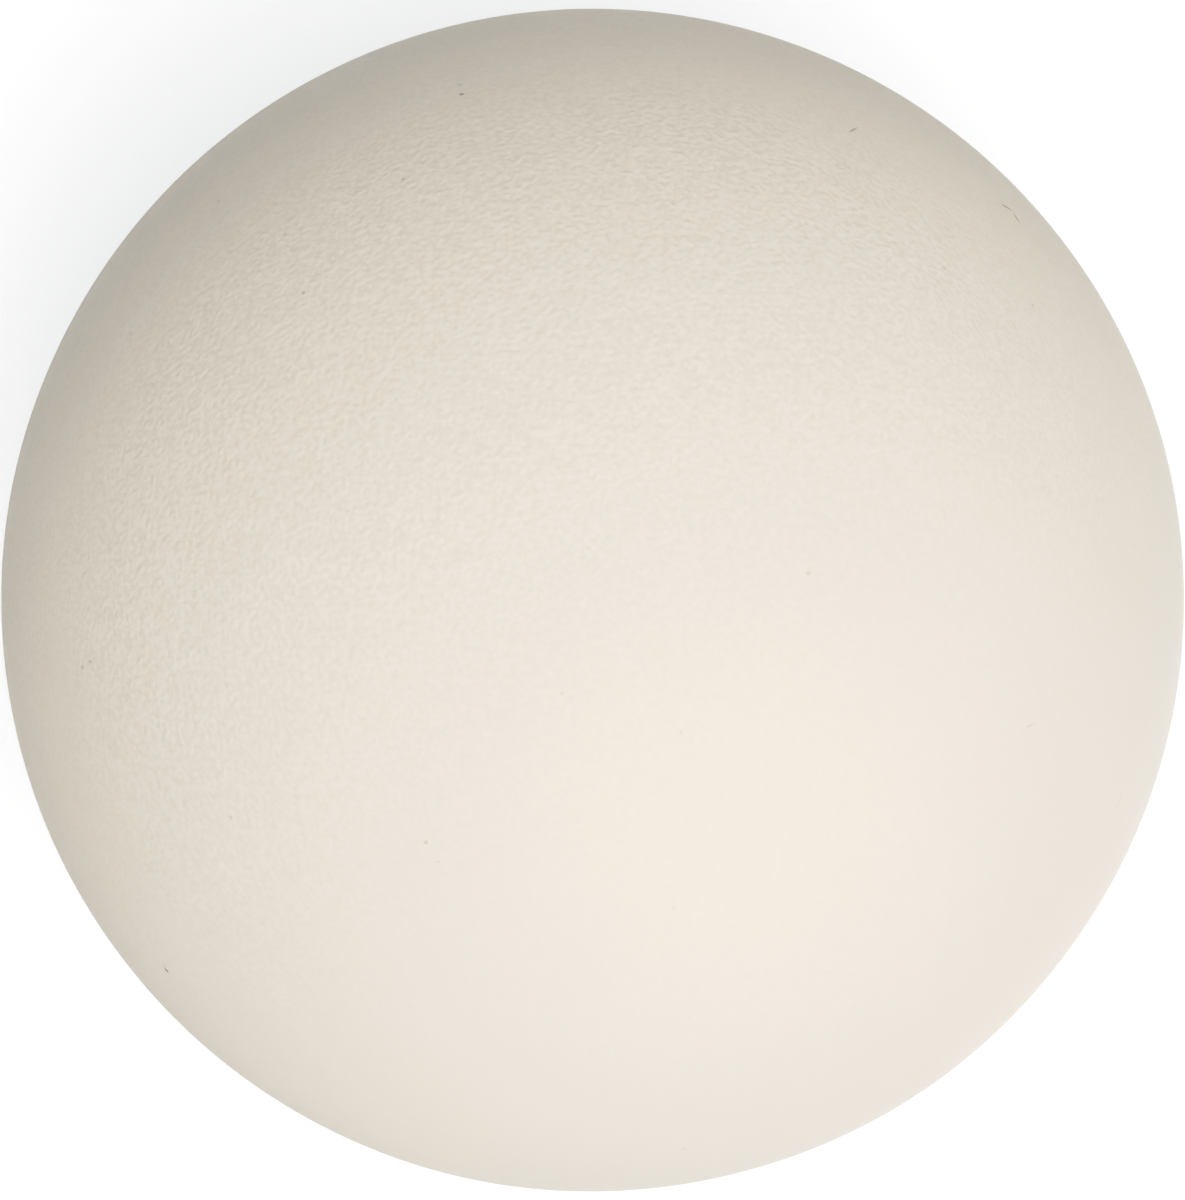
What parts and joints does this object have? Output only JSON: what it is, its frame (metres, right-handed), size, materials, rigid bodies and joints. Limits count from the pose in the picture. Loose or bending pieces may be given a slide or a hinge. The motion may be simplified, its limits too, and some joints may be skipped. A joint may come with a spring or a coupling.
{
  "type": "rubber tennis ball",
  "caption": "Hollow white rubber ball of moulded half-shells cemented at an equatorial seam, with a self-sealing inflation valve inside one pole, for soft tennis.",
  "frame": {"origin": "centre of the ball", "axes": "+Z through the plain pole, -Z through the valve's pole, and the cemented seam in the XY plane"},
  "size_m": [0.066, 0.066, 0.0659],
  "materials": {
    "white_rubber": "matte, as moulded, with a fine orange-peel grain",
    "cap_rubber": "matte, as moulded",
    "cured_cement": "satin, cured in the joint",
    "soft_gum": "tacky, slightly glossy"
  },
  "bodies": {
    "root": {"plain_half_shell": "white_rubber", "valve_half_shell": "white_rubber", "seam_cement": "cured_cement", "valve_cap": "cap_rubber", "sealing_gum": "soft_gum", "valve_cement": "cured_cement"}
  },
  "joints": []
}
